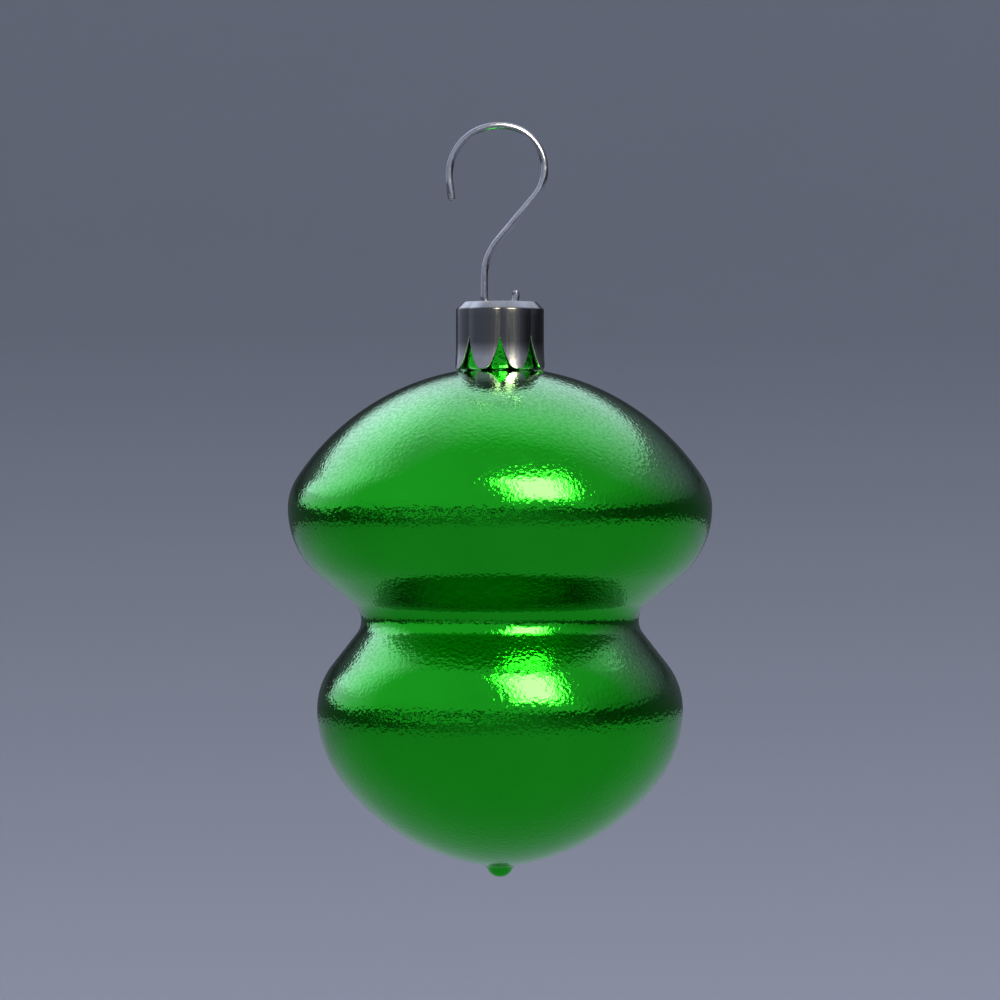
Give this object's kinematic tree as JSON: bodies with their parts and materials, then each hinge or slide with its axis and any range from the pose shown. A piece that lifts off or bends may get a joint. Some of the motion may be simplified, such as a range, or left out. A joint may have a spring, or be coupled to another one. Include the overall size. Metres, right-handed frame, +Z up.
{
  "type": "gourd ornament",
  "caption": "Gourd-shaped blown glass ornament that hangs by a bent wire hook, whose eye is threaded through a fluted crown cap gripping the glass neck.",
  "frame": {"origin": "the point inside the top of the hook's bend, where the ornament hangs on a twig or rail", "axes": "+Z up along the ornament's axis, X across the hook, Y along the twig or rail that carries it"},
  "size_m": [0.06, 0.06, 0.1067],
  "materials": {
    "green_glass": "silvered and lacquered green, with a fine pebbled surface",
    "cap_metal": "bright stamped sheet",
    "hook_wire": "bright drawn wire"
  },
  "bodies": {
    "hook": {"hook": "hook_wire"},
    "cap": {"cap": "cap_metal"},
    "glass": {"glass_body": "green_glass"}
  },
  "joints": [
    {"name": "cap_swing", "type": "hinge", "parent": "hook", "child": "cap", "pos_m": [0, 0, -0.025], "axis": [1, 0, 0], "range_deg": [-40, 40]},
    {"name": "cap_pull", "type": "slide", "parent": "cap", "child": "glass", "axis": [0, 0, -1], "range_m": [0, 0.02]}
  ]
}
